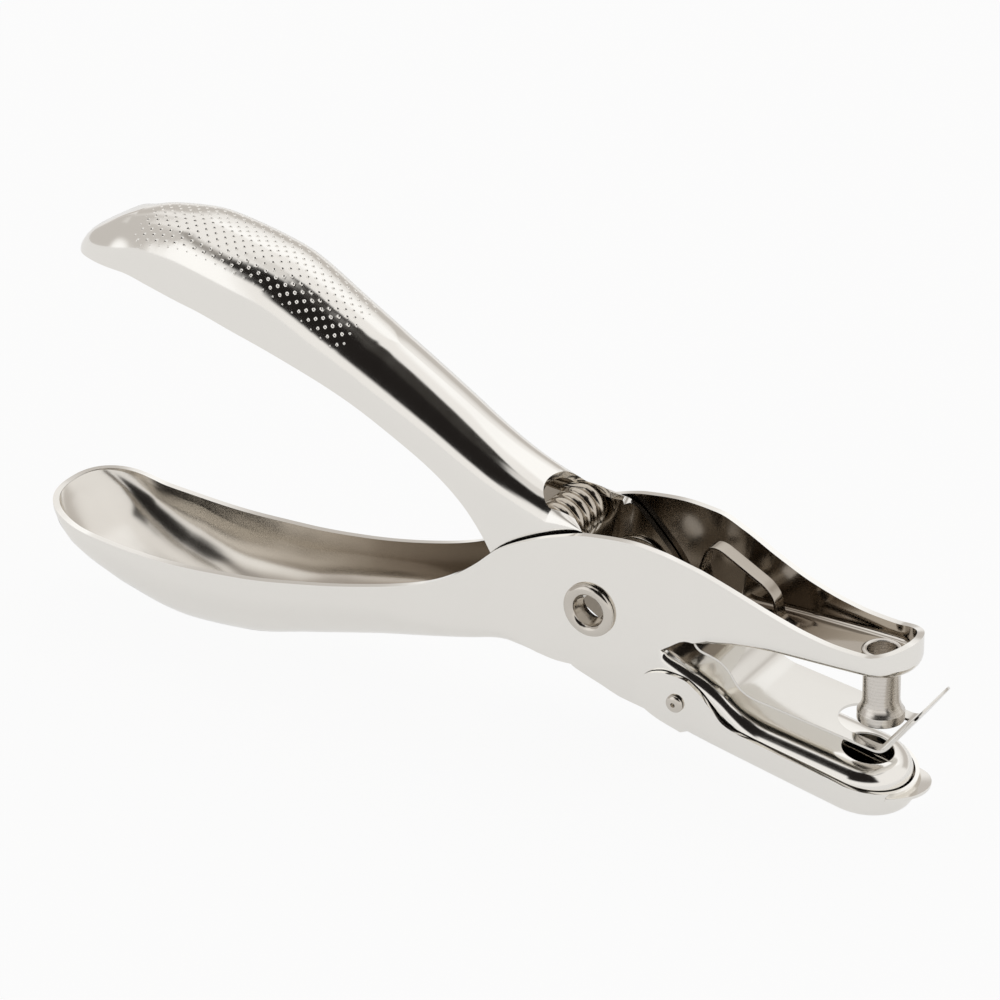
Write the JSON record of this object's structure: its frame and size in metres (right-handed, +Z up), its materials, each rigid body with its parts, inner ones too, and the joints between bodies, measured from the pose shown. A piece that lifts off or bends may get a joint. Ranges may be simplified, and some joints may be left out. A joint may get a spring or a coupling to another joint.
{
  "type": "single hole punch",
  "caption": "Hand-held single hole punch: two stamped levers on a pivot, a punch pin over a die hole, a paper leaf, a wound spring and a hinged chip tray.",
  "frame": {"origin": "middle of the bounding box at the level the punch stands on", "axes": "+X towards the punching jaws, +Y along the pivot and tray pins, to the left of a person who looks along +X, +Z up with the upper handle on top"},
  "size_m": [0.1338, 0.0188, 0.0589],
  "materials": {
    "nickel_punch_lever": "bright nickel plating on stamped steel",
    "nickel_die_lever": "bright nickel plating on stamped steel, satin and dimpled on the crown",
    "turned_punch_steel": "turned steel, nickel plated, fine turning rings",
    "nickel_eyelet_near": "bright nickel plating",
    "nickel_eyelet_far": "bright nickel plating",
    "leaf_spring_steel": "thin bright spring steel",
    "spring_wire": "drawn spring wire, plated",
    "nickel_chip_tray": "bright nickel plating on thin stamped steel",
    "nickel_tray_pin_near": "bright nickel plating",
    "nickel_tray_pin_far": "bright nickel plating"
  },
  "bodies": {
    "punch_side": {"punch_lever": "nickel_punch_lever", "punch_pin": "turned_punch_steel", "pivot_eyelet_near": "nickel_eyelet_near", "pivot_eyelet_far": "nickel_eyelet_far", "paper_leaf": "leaf_spring_steel", "spring": "spring_wire"},
    "die_side": {"die_lever": "nickel_die_lever", "tray_pin_near": "nickel_tray_pin_near", "tray_pin_far": "nickel_tray_pin_far"},
    "tray": {"chip_tray": "nickel_chip_tray"}
  },
  "joints": [
    {"name": "squeeze", "type": "hinge", "parent": "punch_side", "child": "die_side", "pos_m": [0.02178, 0, 0.02028], "axis": [0, -1, 0], "range_deg": [0, 9], "stiffness_Nm_per_rad": 1.9, "springref_deg": -8.48, "deforming": ["spring", "paper_leaf"]},
    {"name": "tray_open", "type": "hinge", "parent": "die_side", "child": "tray", "pos_m": [0.03392, 0, 0.00996], "axis": [0, 1, 0], "range_deg": [0, 45]}
  ]
}
